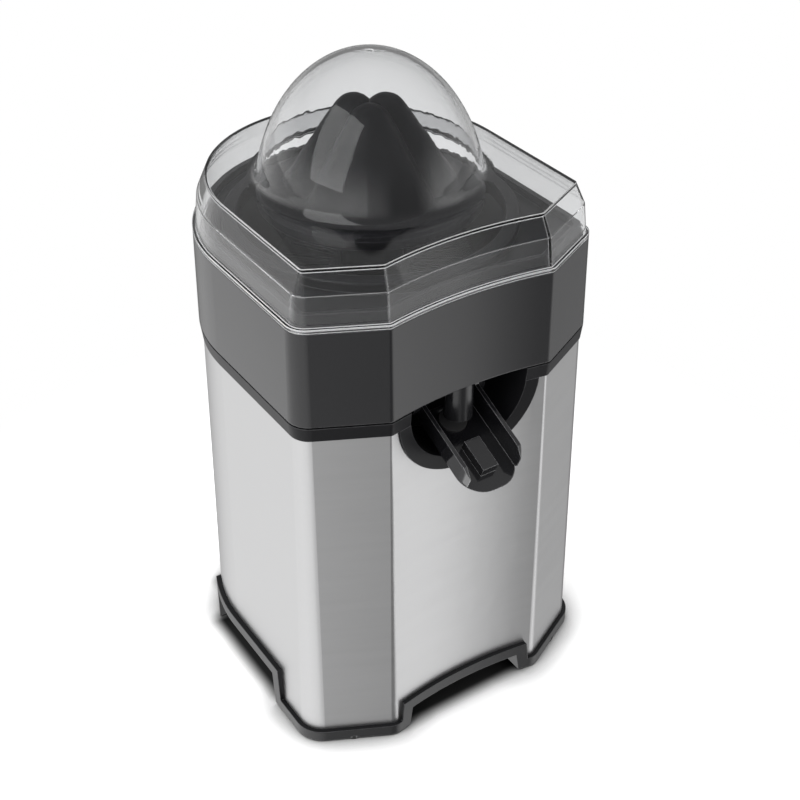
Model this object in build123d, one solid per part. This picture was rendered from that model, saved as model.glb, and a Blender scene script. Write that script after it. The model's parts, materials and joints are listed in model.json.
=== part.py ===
from build123d import *
import math
import os

# Electric citrus juicer, in millimetres. The model is drawn about the drive axis, with the
# front towards -Y and the table at zero height. At the end it is shifted along Y, so that the
# origin lies under the middle of the whole juicer.

# Plan outline, measured at the juice collector
half_width = 76.5
front_half = 41.0
front_reach = 80.0
corner_run = 17.7
front_dish = 4.3
back_shift = 7.0
corner_round = 10.0
front_round = 3.0
least_round = 0.6

# Heights of the stacked parts
housing_top = 177.7
band_height = 6.7
shadow_gap = 0.9
collector_height = 44.6
upstand_height = 6.2
cover_band_height = 15.2
cover_bevel_height = 9.9
flare_height = 6.0
dome_rise = 48.7

# Walls and fits
steel_wall = 0.8
plastic_wall = 2.4
cover_wall = 2.0
slip = 0.3
running = 0.06
touch = 0.05
past = 1.0
merge = 0.5

# Steel wrap: how far it stands out from the outline at the table and at its top
steel_grow_low = 2.6
steel_grow_high = -0.9

# Foot trim
pad_stand = 1.0
pad_radius = 6.0
pad_sink = 1.2
strip_height = 5.8
strip_proud = 2.0
foot_edge = 6.6
front_arch_edge = 17.5
side_arch_edge = 26.0
front_arch_half = 37.0
side_arch_front = 38.0
side_arch_back = 39.0
arch_leg = 5.5
arch_slope = 2.0
foot_depth = 12.0
ledge_height = 3.0
ledge_depth = 4.4
bottom_plate = 3.0
air_slot_length = 44.0
air_slot_width = 3.0
air_slot_pitch = 7.0
air_slot_rows = 7

# Deck, bezel and spout pocket
deck_floor = 3.0
deck_flange = 10.0
band_grow_low = -0.3
band_grow_high = 0.5
band_depth = 4.1
bezel_lift = 3.3
bezel_radius = 37.0
bezel_width = 6.5
bezel_proud = 0.8
pocket_wall = 2.2
pocket_depth = 30.0
tower_radius = 4.5
tower_inset = 12.5
tower_front_inset = 20.3
tower_back = 20.0
boss_clear = 1.5
seal_stand = 2.0

# Collector
collector_grow_low = 0.5
collector_grow_high = -0.4
collector_lift_off = 4.2
floor_slope = 2.0
lip_grow = -10.0
chimney_bore = 8.5
drain_inset = 10.5
drain_bore = 4.5
drain_wall = 2.0
drain_drop = 10.7
chimney_wall = 2.5
chimney_drop = 1.0

# Strainer and pulp ring
rim_inset = 10.5
rim_rise = 4.6
rim_width = 4.0
bowl_floor_radius = 47.0
bowl_depth = 24.0
bowl_wall = 2.0
slot_count = 24
slot_width = 2.2
slot_inner = 19.0
slot_outer = 42.0
plate_wall = 2.5
rim_round = 1.2
tube_drop = 1.0
tube_clear = 1.5
ring_wall = 2.0
snap_wall = 1.2
snap_reach = 1.6
snap_half = 3.0
tab_reach = 6.0
tab_half = 4.0
tab_turn = 52.5

# Reamer
lobe_count = 3
lobe_radius = 26.9
lobe_reach = 11.1
lobe_tip_radius = 9.6
lobe_tip_reach = 7.0
lobe_turn = -2.4
lobe_foot = 2.0
flange_radius = 50.0
flange_drop = 7.4
flange_wall = 2.0
flange_round = 1.6
flange_lip = 2.0
crown_wall = 6.0
tip_clearance = 18.5
reamer_wall = 2.8

# Clear cover
cover_flange_wall = 1.8
cover_grow_low = -1.6
cover_grow_shoulder = -3.3
cover_grow_top = -7.7
flare_radius = 54.4
dome_radius = 51.5
dome_sink = 21.5
gate_radius = 2.0
gate_depth = 0.3

# Spout, with its own slope at rest
spout_slope = 23.0
pivot_inset = 22.0
pivot_drop = 4.7
spout_half = 15.4
spout_wall = 2.0
spout_floor_wall = 2.2
spout_top = 2.75
spout_bottom = -10.4
spout_length = 50.5
spout_nose_round = 13.0
spout_edge_round = 4.5
spout_wall_end = 39.7
spout_nose_drop = 8.5
ear_radius = 5.5
spout_pin_radius = 1.5
spout_mouth = 3.0
lug_wall = 3.0
pad_start = 25.5
pad_end = 41.5
pad_half = 4.0
pad_top = -3.4
seal_wall = 1.2

# Drive: two gear steps from the motor to the shaft
pressure_angle = 25.0
pinion_teeth = 16
wheel_teeth = 64
fast_module = 0.7
slow_module = 1.1
backlash = 0.12
flank_steps = 3
shaft_radius = 5.0
shaft_flange_radius = 7.4
shaft_flange_wall = 3.0
hex_flats = 9.0
hex_length = 34.0
seat_drop = 1.6
press_travel = 3.0
wheel_width = 12.0
fast_width = 7.0
gear_step = 3.0
gear_clear = 1.0
hub_proud = 1.0
hub_tail = 2.0
pinion_past = 0.5
fast_clear = 4.0
dedendum = 1.25
hub_radius = 10.0
axle_radius = 2.5
gearbox_plate = 3.0
gearbox_drop = 5.7
plate_reach = 40.0
plate_edge = 4.0
pillar_clear = 2.0
pillar_radius = 4.0
bush_wall = 4.0
bush_stand = 2.0
clip_reach = 3.0
washer_wall = 1.2
clip_wall = 1.2
seal_ring_wall = 6.0

# Press-to-start carriage and switch
well_bore = 9.0
well_wall = 2.0
well_depth = 25.0
cup_top = 4.0
cup_skirt = 4.0
cup_wall = 1.4
shaft_tail = 4.0
spring_wire = 0.9
spring_radius = 5.5
spring_turns = 5
arm_reach = 22.0
arm_half = 2.0
arm_height = 4.0
switch_length = 21.0
switch_width = 8.4
switch_height = 12.0
switch_clear = 1.5
switch_screw_inset = 4.2
switch_screw_radius = 1.05
switch_ear_wall = 1.4
switch_ear_half = 2.0
lever_wall = 0.6
lever_slope = 17.0
lever_span = 15.0
lever_pin_radius = 0.8
switch_bracket = 3.0

# Motor
core_half = 27.0
core_height = 22.0
core_back = 24.0
core_front = 42.0
core_leg = 12.0
window_half = 15.0
window_length = 10.0
bore_radius = 15.0
air_gap = 0.6
motor_shaft_radius = 2.5
coil_wall = 7.0
coil_half = 14.5
motor_gap = 29.0
bracket_wall = 3.0
bracket_stand = 7.0
bracket_width = 6.0
bracket_boss = 11.0
screw_x = 21.0
screw_y = 20.0
bearing_radius = 6.0
bearing_length = 7.0
core_round = 3.0
coil_round = 4.0
rotor_inset = 1.0
rotor_tail = 3.0

# Fasteners and cord inlet
screw_radius = 1.5
screw_fit = 0.1
screw_head = 3.0
screw_head_wall = 2.4
screw_bite = 10.0
driver_slot = 1.0
driver_depth = 0.8
grommet_radius = 6.0
grommet_flange = 2.0
grommet_bore = 3.2
grommet_inset = 21.5
block_length = 24.0
block_width = 12.0
block_height = 11.0
lead_radius = 1.1
lead_bend = 6.0
terminal_well = 5.0

# Places in plan worked out from the outline
corner_reach = front_reach - corner_run
pocket_back = front_reach - pocket_depth
pivot_reach = front_reach - pivot_inset
drain_reach = front_reach - drain_inset
tower_x = half_width - tower_inset
tower_front = corner_reach - tower_front_inset
grommet_reach = back_shift + half_width - grommet_inset
rim_radius = half_width - rim_inset
bowl_radius = rim_radius - rim_width
recess_radius = bezel_radius - bezel_width

# Heights worked out from the stack
band_top = housing_top + band_height
collector_base = band_top + shadow_gap
collector_top = collector_base + collector_height
cover_base = collector_top + slip
shoulder_top = cover_base + cover_band_height
plate_top = shoulder_top + cover_bevel_height
dome_base = plate_top + flare_height
dome_center = dome_base - dome_sink
overall_height = dome_base + dome_rise
bezel_center = housing_top + bezel_lift
pivot_height = housing_top - pivot_drop
drain_end = housing_top - drain_drop
deck_top = housing_top + deck_floor
collector_floor = collector_base + collector_lift_off

# Gear centres, from the pitch radii
fast_distance = fast_module * (pinion_teeth + wheel_teeth) / 2
slow_distance = slow_module * (pinion_teeth + wheel_teeth) / 2
idler_x = fast_distance
idler_y = math.sqrt(slow_distance**2 - fast_distance**2)
motor_y = idler_y

# Heights of the drive, from the deck downwards
gearbox_cover_low = housing_top - gearbox_drop - gearbox_plate
bush_low = gearbox_cover_low - gearbox_plate + slip
wheel_hub_top = bush_low - slip - washer_wall - touch
wheel_top = wheel_hub_top - hub_proud
wheel_low = wheel_top - wheel_width
wheel_hub_low = wheel_low - hub_tail
pinion_low = wheel_low - press_travel - gear_clear
fast_top = pinion_low - gear_step
fast_low = fast_top - fast_width
gearbox_base_top = fast_low - fast_clear
gearbox_base_low = gearbox_base_top - gearbox_plate
shaft_low = gearbox_base_low - shaft_tail
cup_high = shaft_low - touch
well_floor = gearbox_base_low - well_depth
spring_low = well_floor + well_wall
spring_high = cup_high - cup_top
core_top = gearbox_base_low - motor_gap - bracket_wall - bracket_stand
core_low = core_top - core_height
bottom_low = side_arch_edge
bottom_top = bottom_low + bottom_plate

# Width of a cutter that is wider than the whole juicer
body_span = half_width + front_reach

# Reamer and strainer heights
strainer_low = collector_top
strainer_top = strainer_low + plate_wall
rim_top = strainer_top + rim_rise
bowl_floor_top = strainer_top - bowl_depth
tube_top = rim_top - tube_drop
flange_top = plate_top - flange_drop
lobe_base = flange_top + lobe_foot
reamer_tip = overall_height - cover_wall - tip_clearance
crown_under = reamer_tip - crown_wall
seat_height = tube_top - seat_drop
hex_top = seat_height + hex_length
chimney_top = collector_top - chimney_drop


def outline(grow, level=0.0):
    """Face of the plan outline, grown evenly by an offset, at a level."""
    run = Vector(half_width - front_half, front_reach - corner_reach)
    normal = Vector(run.Y, run.X) / run.length
    reach = normal.X * half_width + normal.Y * corner_reach + grow
    side = half_width + grow
    front = front_reach + grow
    corner = -(reach - normal.X * side) / normal.Y
    nose = (reach - normal.Y * front) / normal.X
    edges = [
        Line((side, back_shift), (side, corner)),
        Line((side, corner), (nose, -front)),
        ThreePointArc((nose, -front), (0, front_dish - front), (-nose, -front)),
        Line((-nose, -front), (-side, corner)),
        Line((-side, corner), (-side, back_shift)),
        ThreePointArc((-side, back_shift), (0, back_shift + side), (side, back_shift)),
    ]
    face = make_face(edges)
    corners = [v for v in face.vertices() if abs(v.Y - corner) < 1e-4]
    face = fillet(corners, max(least_round, corner_round + grow))
    noses = [v for v in face.vertices() if abs(v.Y + front) < 1e-4]
    face = fillet(noses, max(least_round, front_round + grow))
    return Pos(0, 0, level) * face


def prism(grow, low, high):
    """Straight block of the outline between two heights."""
    return extrude(outline(grow, low), amount=high - low, dir=(0, 0, 1))


def frustum(grow_low, low, grow_high, high):
    """Tapered block of the outline between two heights."""
    return loft([outline(grow_low, low), outline(grow_high, high)], ruled=True)


def ring(grow_out, grow_in, low, high):
    """Straight wall between two offsets of the outline."""
    return prism(grow_out, low, high) - prism(grow_in, low - past, high + past)


def rod(radius, low, high, x=0.0, y=0.0):
    """Upright round rod between two heights."""
    return Pos(x, y, low) * Cylinder(radius, high - low, align=(Align.CENTER, Align.CENTER, Align.MIN))


def tube(radius, bore, low, high, x=0.0, y=0.0):
    """Upright round tube between two heights."""
    return rod(radius, low, high, x, y) - rod(bore, low - past, high + past, x, y)


def block(x0, x1, y0, y1, z0, z1):
    """Box between two corners."""
    center = ((x0 + x1) / 2, (y0 + y1) / 2, (z0 + z1) / 2)
    return Pos(*center) * Box(x1 - x0, y1 - y0, z1 - z0)


def cross_rod(radius, x0, x1, y, z):
    """Round rod along X."""
    return Pos((x0 + x1) / 2, y, z) * Rot(0, 90, 0) * Cylinder(radius, x1 - x0)


def front_disc(radius, y0, y1, z):
    """Round block along Y, about the middle plane."""
    return Pos(0, (y0 + y1) / 2, z) * Rot(90, 0, 0) * Cylinder(radius, y1 - y0)


def revolved(points):
    """Solid turned about the drive axis from a closed profile of radius and height."""
    profile = make_face(Polyline(*points, close=True))
    return revolve(Plane.XZ * profile, Axis.Z)


def steel_grow(height):
    """Offset of the steel's outer face at a height."""
    return steel_grow_low + (steel_grow_high - steel_grow_low) * height / housing_top


def steel_block(extra, low, high):
    """Tapered block that follows the steel's slope, grown by a little."""
    return frustum(steel_grow(low) + extra, low, steel_grow(high) + extra, high)


def arch(y0, y1, half, edge, slope):
    """Flared block along X, half its width each way, open to the table."""
    points = [(y0 - slope, -past), (y0, edge), (y1, edge), (y1 + slope, -past)]
    profile = make_face(Polyline(*points, close=True))
    return Pos(-half, 0, 0) * extrude(Plane.YZ * profile, amount=2 * half)


def arches(inset, drop):
    """Side and front arches under the steel, drawn in by an inset and lowered."""
    sides = arch(inset - side_arch_front, side_arch_back - inset, body_span,
                 side_arch_edge - drop, arch_slope)
    wide = front_arch_half - inset
    front = Rot(0, 0, 90) * arch(-wide, wide, body_span, front_arch_edge - drop, arch_slope)
    return sides + front


def steel_housing():
    """Brushed steel wrap, arched at the bottom and notched round the bezel."""
    shell = steel_block(0, 0, housing_top) - steel_block(-steel_wall, -past, housing_top + past)
    shell -= arches(0, 0)
    shell -= block(-body_span, body_span, -body_span, body_span, -past, foot_edge)
    return shell - front_disc(bezel_radius, -body_span, 0, bezel_center)


def base_trim():
    """Dark foot trim that follows the steel's lower edge, with a ledge for the bottom cover."""
    out = steel_grow_low + strip_proud
    inner = steel_grow_low - steel_wall - slip - strip_height / 2
    feet = ring(out, out - foot_depth, pad_stand, foot_edge)
    arched = ring(out, inner, pad_stand, side_arch_edge) & arches(0, 0)
    fit = steel_grow(side_arch_edge + ledge_height) - steel_wall - slip
    flange = ring(fit, inner, foot_edge, bottom_top + ledge_height)
    ledge = ring(inner + merge, inner - ledge_depth, bottom_low - ledge_height, bottom_low)
    trim = feet + arched + flange + ledge - arches(arch_leg, strip_height)
    for x, y in foot_places():
        trim -= rod(pad_radius + touch, 0, pad_stand + pad_sink, x, y)
    return trim


def foot_places():
    """Centres of the four rubber feet."""
    run = Vector(half_width - front_half, front_reach - corner_reach)
    normal = Vector(run.Y, -run.X) / run.length
    inset = foot_depth / 2 - steel_grow_low - strip_proud
    middle = Vector((half_width + front_half) / 2, -(front_reach + corner_reach) / 2)
    front = middle - normal * inset
    back = (half_width - inset) * math.sqrt(0.5)
    return [
        (front.X, front.Y),
        (-front.X, front.Y),
        (back, back_shift + back),
        (-back, back_shift + back),
    ]


def rubber_feet():
    """Four round rubber feet, sunk into the trim."""
    return [rod(pad_radius, 0, pad_stand + pad_sink - touch, x, y) for x, y in foot_places()]


def tower_places():
    """Centres of the four screw towers that hang from the deck."""
    return [
        (tower_x, -tower_front),
        (-tower_x, -tower_front),
        (tower_x, tower_back),
        (-tower_x, tower_back),
    ]


def bottom_cover():
    """Plate that closes the housing, with air slots, screw holes and the cord inlet."""
    inner = steel_grow_low - steel_wall - slip - strip_height / 2
    plate = prism(inner - slip, bottom_low, bottom_top)
    slot = extrude(SlotOverall(air_slot_length, air_slot_width), amount=bottom_plate + 2 * past)
    for row in range(air_slot_rows):
        y = motor_y / 2 + (row - (air_slot_rows - 1) / 2) * air_slot_pitch
        plate -= Pos(0, y, bottom_low - past) * slot
    for x, y in tower_places():
        plate -= rod(screw_radius + screw_fit, bottom_low - past, bottom_top + past, x, y)
    return plate - rod(grommet_radius, bottom_low - past, bottom_top + past, 0, grommet_reach)


def pillar_places():
    """Centres of the gearbox pillars, clear of the gears."""
    off = plate_reach * math.sqrt(0.5) + pillar_clear
    return [
        (off, -off),
        (-off, -off),
        (-off, off),
        (idler_x * 2, idler_y + pillar_radius),
    ]


def recess(extra):
    """Space of the spout pocket, grown by a wall."""
    round_part = front_disc(recess_radius + extra, -body_span, extra - pocket_back, bezel_center)
    reach = recess_radius + extra
    upper = block(-reach, reach, -body_span, extra - pocket_back, bezel_center, collector_floor + past)
    return round_part + upper


def deck():
    """Top of the motor base: trim band, bezel, spout pocket, floor and screw towers."""
    fit = steel_grow_high - steel_wall - slip
    band = frustum(band_grow_low, housing_top, band_grow_high, band_top)
    band -= prism(band_grow_low - band_depth, housing_top - past, band_top + past)
    floor = prism(fit, housing_top, deck_top)
    flange = ring(fit, fit - plastic_wall, housing_top - deck_flange, housing_top)
    rim_out = collector_grow_low - plastic_wall - 3 * slip
    rim = ring(rim_out, rim_out - plastic_wall, housing_top, collector_floor)
    low = bezel_center - bezel_radius
    apron = front_disc(bezel_radius, -body_span, 0, bezel_center)
    apron &= block(-body_span, body_span, -body_span, 0, low - past, housing_top)
    face = steel_block(bezel_proud, low - past, housing_top)
    apron &= face - steel_block(-plastic_wall, low - past, housing_top)
    pocket = recess(pocket_wall) & face
    solid = band + floor + flange + rim + apron + pocket - recess(0)
    solid += tube(shaft_hole() + plastic_wall, shaft_hole(), housing_top, collector_floor - boss_clear)
    solid -= rod(shaft_hole(), 0, collector_floor)
    for x, y in tower_places():
        solid += tube(tower_radius, screw_radius + screw_fit, bottom_top, housing_top, x, y)
    for x, y in pillar_places():
        solid += tube(pillar_radius, screw_radius + screw_fit, housing_top - gearbox_drop, housing_top, x, y)
    return solid


def shaft_hole():
    """Radius of the deck's hole round the shaft seal."""
    return shaft_radius + seal_ring_wall


def shaft_seal():
    """Rubber seal in the deck round the drive shaft."""
    return tube(shaft_hole() - touch, shaft_radius + running, housing_top, deck_top + seal_stand)


def involute_gear(module, teeth, width):
    """Spur gear standing on zero height, with one tooth centred on +X."""
    pitch = module * teeth / 2
    base = pitch * math.cos(math.radians(pressure_angle))
    tip = pitch + module
    root = pitch - dedendum * module
    start = max(base, root)
    roll = math.tan(math.radians(pressure_angle)) - math.radians(pressure_angle)
    half = math.pi / (2 * teeth) - backlash / (4 * pitch) + roll
    points = []
    for tooth in range(teeth):
        middle = 2 * math.pi * tooth / teeth
        flank = [(root, half)] if root < base else []
        for step in range(flank_steps + 1):
            radius = start + (tip - start) * step / flank_steps
            angle = math.sqrt(max(0.0, (radius / base) ** 2 - 1))
            flank.append((radius, half - (angle - math.atan(angle))))
        points += [(r * math.cos(middle - a), r * math.sin(middle - a)) for r, a in flank]
        points += [(r * math.cos(middle + a), r * math.sin(middle + a)) for r, a in reversed(flank)]
    return extrude(make_face(Polyline(*points, close=True)), amount=width)


def gear_angle(x, y):
    """Direction in plan from the drive axis, in degrees."""
    return math.degrees(math.atan2(y, x))


def gearbox_outline():
    """Plan of the gearbox plates: a hull round the shaft, the idler and the pillars."""
    rounds = [Circle(plate_reach)]
    rounds.append(Pos(idler_x, idler_y) * Circle(fast_module * wheel_teeth / 2 + plate_edge))
    rounds += [Pos(x, y) * Circle(pillar_radius + pillar_clear) for x, y in pillar_places()]
    edges = [edge for item in rounds for edge in item.edges()]
    return make_hull(edges)


def gearbox_cover():
    """Upper gearbox plate, screwed under the deck, with the upper bush and the idler's boss."""
    plate = Pos(0, 0, gearbox_cover_low) * extrude(gearbox_outline(), amount=gearbox_plate)
    plate += rod(axle_radius * 2, pinion_top() + slip, gearbox_cover_low, idler_x, idler_y)
    plate -= rod(shaft_radius + bush_wall, 0, housing_top)
    plate -= rod(axle_radius, 0, housing_top, idler_x, idler_y)
    for x, y in pillar_places():
        plate -= rod(screw_radius + screw_fit, 0, housing_top, x, y)
    return plate


def pinion_top():
    """Top of the idler's small gear, just past the wheel that it drives."""
    return wheel_top + pinion_past


def motor_screw_places():
    """Centres of the two motor screws, on a diagonal of the core."""
    return [(-screw_x, motor_y - screw_y), (screw_x, motor_y + screw_y)]


def gearbox_base():
    """Lower gearbox plate with its pillars, spring well, motor posts and switch bracket."""
    plate = Pos(0, 0, gearbox_base_low) * extrude(gearbox_outline(), amount=gearbox_plate)
    for x, y in pillar_places():
        plate += rod(pillar_radius, gearbox_base_top, gearbox_cover_low, x, y)
    plate += rod(axle_radius * 2, gearbox_base_top, fast_low - slip, idler_x, idler_y)
    plate += rod(well_bore + well_wall, well_floor, gearbox_base_low)
    for x, y in motor_screw_places():
        plate += rod(bracket_width, bracket_top(), gearbox_base_low, x, y)
    far = switch_start() + switch_length
    plate += block(switch_start(), far, switch_width / 2, switch_width / 2 + switch_bracket,
                   switch_low(), gearbox_base_low)
    plate -= rod(well_bore, spring_low, gearbox_base_low)
    plate -= rod(shaft_radius + bush_wall, gearbox_base_low - past, gearbox_base_top + past)
    slot_low = spring_high - press_travel - 2 * past
    plate -= block(0, arm_reach + 2 * past, -arm_half - slip, arm_half + slip, slot_low, gearbox_base_low)
    plate -= rod(motor_shaft_radius * 2, gearbox_base_low - past, gearbox_base_top + past, 0, motor_y)
    plate -= rod(axle_radius, gearbox_base_low - past, fast_low, idler_x, idler_y)
    for x, y in pillar_places():
        plate -= rod(screw_radius + screw_fit, 0, housing_top, x, y)
    for x, y in motor_screw_places():
        plate -= rod(screw_radius + screw_fit, 0, bracket_top() + screw_bite + past, x, y)
    for x in switch_screw_places():
        hole = Pos(x, 0, switch_middle()) * Rot(90, 0, 0) * Cylinder(screw_hole(), 4 * switch_width)
        plate -= hole
    return plate


def idler_axle():
    """Steel axle of the idler, held in both gearbox plates."""
    return rod(axle_radius, gearbox_base_low, gearbox_cover_low + gearbox_plate, idler_x, idler_y)


def upper_bush():
    """Bush of the drive shaft in the gearbox cover."""
    return tube(shaft_radius + bush_wall, shaft_radius + running, bush_low,
                gearbox_cover_low + gearbox_plate + bush_stand)


def lower_bush():
    """Bush of the drive shaft in the gearbox base, flush with its underside."""
    return tube(shaft_radius + bush_wall, shaft_radius + running, gearbox_base_low, gearbox_base_top + bush_stand)


def idler_gear():
    """Two gears in one: the large one takes the motor's pinion, the small one drives the shaft."""
    to_motor = 180.0
    large = Rot(0, 0, to_motor) * involute_gear(fast_module, wheel_teeth, fast_width)
    gap = 180.0 / pinion_teeth
    to_shaft = gear_angle(idler_x, idler_y) + 180.0
    small = Rot(0, 0, to_shaft + gap) * involute_gear(slow_module, pinion_teeth, pinion_top() - fast_top)
    both = Pos(0, 0, fast_low) * large + Pos(0, 0, fast_top) * small
    both = Pos(idler_x, idler_y, 0) * both
    return both - rod(axle_radius + running, 0, housing_top, idler_x, idler_y)


def motor_pinion():
    """Small gear on the motor's shaft."""
    gap = 180.0 / pinion_teeth
    gear = Rot(0, 0, gap) * involute_gear(fast_module, pinion_teeth, fast_width)
    gear = Pos(0, motor_y, fast_low) * gear
    return gear - rod(motor_shaft_radius, 0, housing_top, 0, motor_y)


def output_gear():
    """Large gear that turns the drive shaft."""
    turn = gear_angle(idler_x, idler_y)
    gear = Pos(0, 0, wheel_low) * Rot(0, 0, turn) * involute_gear(slow_module, wheel_teeth, wheel_width)
    gear += rod(hub_radius, wheel_hub_low, wheel_hub_top)
    return gear - rod(shaft_radius, 0, housing_top)


def drive_shaft():
    """Steel shaft with a seat flange and a six-sided end for the reamer."""
    shaft = rod(shaft_radius, shaft_low, seat_height)
    shaft += rod(shaft_flange_radius, seat_height - shaft_flange_wall, seat_height)
    return shaft + Pos(0, 0, seat_height) * six_sided(hex_flats / 2, hex_length)


def six_sided(reach, height):
    """Six-sided prism on zero height, from its middle out to its flats."""
    return extrude(RegularPolygon(reach, 6, major_radius=False), amount=height)


def thrust_washer():
    """Washer between the output gear and the upper bush."""
    return tube(shaft_radius + bush_wall, shaft_radius, wheel_hub_top, wheel_hub_top + washer_wall)


def gear_clip():
    """Clip ring that keeps the output gear on its shaft."""
    return tube(shaft_radius + clip_reach, shaft_radius, wheel_hub_low - clip_wall, wheel_hub_low)


def thrust_cup():
    """Cup under the shaft that moves down when a fruit is pressed on, with the switch arm."""
    cup = rod(well_bore - slip, spring_high - cup_skirt, cup_high)
    cup -= rod(well_bore - slip - cup_wall, spring_high - cup_skirt - past, spring_high)
    return cup + block(spring_radius, arm_reach, -arm_half, arm_half, spring_high, spring_high + arm_height)


def return_spring():
    """Coil spring under the cup."""
    height = spring_high - spring_low - spring_wire - 2 * touch
    path = Helix(height / spring_turns, height, spring_radius)
    profile = Plane(path @ 0, z_dir=path % 0) * Circle(spring_wire / 2)
    return Pos(0, 0, spring_low + spring_wire / 2 + touch) * sweep(profile, path, is_frenet=True)


def switch_start():
    """Nearest X of the microswitch, outside the spring well."""
    return well_bore + well_wall + switch_clear


def lever_pivot():
    """Place of the switch lever's pin, in X and height, from where its tip meets the arm."""
    slope = math.radians(lever_slope)
    x = arm_reach - arm_half + lever_span * math.cos(slope)
    z = spring_high - slip - lever_wall * math.cos(slope) - lever_span * math.sin(slope)
    return x, z


def switch_low():
    """Underside of the microswitch."""
    return lever_pivot()[1] - switch_ear_half - switch_height


def switch_middle():
    """Height of the microswitch's fixing screws."""
    return switch_low() + switch_height / 2


def switch_screw_places():
    """X of the two small screws through the microswitch."""
    start = switch_start()
    return [start + switch_screw_inset, start + switch_length - switch_screw_inset]


def screw_hole():
    """Radius of the small screws' holes in the switch and its bracket."""
    return switch_screw_radius + screw_fit


def microswitch():
    """Switch body with two ears for the lever's pin and a small button."""
    start = switch_start()
    body = block(start, start + switch_length, -switch_width / 2, switch_width / 2,
                 switch_low(), switch_low() + switch_height)
    x, z = lever_pivot()
    top = switch_low() + switch_height
    near = arm_half + slip
    ear = block(x - switch_ear_half, x + switch_ear_half, near, near + switch_ear_wall,
                top - switch_ear_half, z + switch_ear_half)
    body += ear + mirror(ear, Plane.XZ)
    body -= Pos(x, 0, z) * Rot(90, 0, 0) * Cylinder(lever_pin_radius + running, 2 * switch_width)
    for place in switch_screw_places():
        body -= Pos(place, 0, switch_middle()) * Rot(90, 0, 0) * Cylinder(screw_hole(), 2 * switch_width)
    return body


def switch_lever():
    """Spring-steel lever on its pin, under the cup's arm."""
    x, z = lever_pivot()
    span = block(-lever_span, 0, -arm_half + slip, arm_half - slip, 0, lever_wall)
    pin = Rot(90, 0, 0) * Cylinder(lever_pin_radius, 2 * (arm_half + slip + switch_ear_wall))
    return Pos(x, 0, z) * (Rot(0, lever_slope, 0) * span + pin)


def switch_screws():
    """Two small screws that hold the switch to its bracket."""
    shank = switch_width + switch_bracket
    head_wall = switch_screw_radius
    screws = []
    for place in switch_screw_places():
        turned = Pos(place, -switch_width / 2, switch_middle()) * Rot(-90, 0, 0)
        body = rod(switch_screw_radius, 0, shank) + rod(2 * switch_screw_radius, -head_wall, 0)
        screws.append(turned * body)
    return screws


def bracket_top():
    """Upper face of the motor's top bracket."""
    return core_top + bracket_stand + bracket_wall


def motor_core():
    """Stack of iron sheets with the rotor's bore and a window for the coil."""
    front = motor_y - core_front
    core = block(-core_half, core_half, front, motor_y + core_back, core_low, core_top)
    core = fillet(core.edges().filter_by(Axis.Z), core_round)
    window = front + core_leg
    core -= block(-window_half, window_half, window, window + window_length, core_low - past, core_top + past)
    core -= rod(bore_radius, core_low - past, core_top + past, 0, motor_y)
    for x, y in motor_screw_places():
        core -= rod(screw_radius + screw_fit, core_low - past, core_top + past, x, y)
    return core


def motor_coil():
    """Winding round the core's front leg, wrapped in tape."""
    front = motor_y - core_front
    grow = coil_wall
    coil = block(-coil_half, coil_half, front - grow, front + core_leg + grow,
                 core_low - grow, core_top + grow)
    coil = fillet(coil.edges().filter_by(Axis.X), coil_round)
    return coil - block(-core_half, core_half, front - slip, front + core_leg + slip,
                        core_low - slip, core_top + slip)


def motor_bracket(face, turn):
    """Diagonal bearing bridge on one face of the core, standing off by its feet."""
    rounds = [Pos(x, y) * Circle(bracket_width) for x, y in motor_screw_places()]
    rounds.append(Pos(0, motor_y) * Circle(bracket_boss))
    edges = [edge for item in rounds for edge in item.edges()]
    bridge = extrude(make_hull(edges), amount=bracket_wall)
    bridge = Pos(0, 0, face + turn * bracket_stand - (bracket_wall if turn < 0 else 0)) * bridge
    ends = sorted((face, face + turn * bracket_stand))
    for x, y in motor_screw_places():
        bridge += rod(bracket_width - merge, ends[0], ends[1], x, y)
    span = bracket_stand + bracket_wall + past
    for x, y in motor_screw_places():
        bridge -= rod(screw_radius + screw_fit, face - span, face + span, x, y)
    return bridge - rod(bearing_radius, face - span, face + span, 0, motor_y)


def motor_bearings():
    """Two plain bearings of the rotor, one in each bridge."""
    middle = bracket_stand + bracket_wall / 2
    places = (core_top + middle, core_low - middle)
    half = bearing_length / 2
    bore = motor_shaft_radius + running
    return [tube(bearing_radius, bore, z - half, z + half, 0, motor_y) for z in places]


def motor_rotor():
    """Rotor with its shaft, which carries the pinion."""
    rotor = rod(bore_radius - air_gap, core_low + rotor_inset, core_top - rotor_inset, 0, motor_y)
    tail = core_low - bracket_stand - bracket_wall - rotor_tail
    return rotor + rod(motor_shaft_radius, tail, fast_top + past, 0, motor_y)


def screw(x, y, head_low, tip):
    """Round-headed screw that points up."""
    head = rod(screw_head, head_low, head_low + screw_head_wall, x, y)
    head = fillet(head.edges().group_by(Axis.Z)[0], screw_head_wall / 3)
    slot = block(x - driver_slot / 2, x + driver_slot / 2, y - screw_head, y + screw_head,
                 head_low - past, head_low + driver_depth)
    return head - slot + rod(screw_radius, head_low + screw_head_wall, tip, x, y)


def base_screws():
    """Four screws up through the bottom cover into the towers."""
    low = bottom_low - screw_head_wall
    return [screw(x, y, low, bottom_top + screw_bite) for x, y in tower_places()]


def gearbox_screws():
    """Four long screws through the gearbox pillars into the deck."""
    low = gearbox_base_low - screw_head_wall
    return [screw(x, y, low, housing_top - past) for x, y in pillar_places()]


def motor_screws():
    """Two long screws through the motor into the gearbox posts."""
    low = core_low - bracket_stand - bracket_wall - screw_head_wall
    return [screw(x, y, low, bracket_top() + screw_bite) for x, y in motor_screw_places()]


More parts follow.
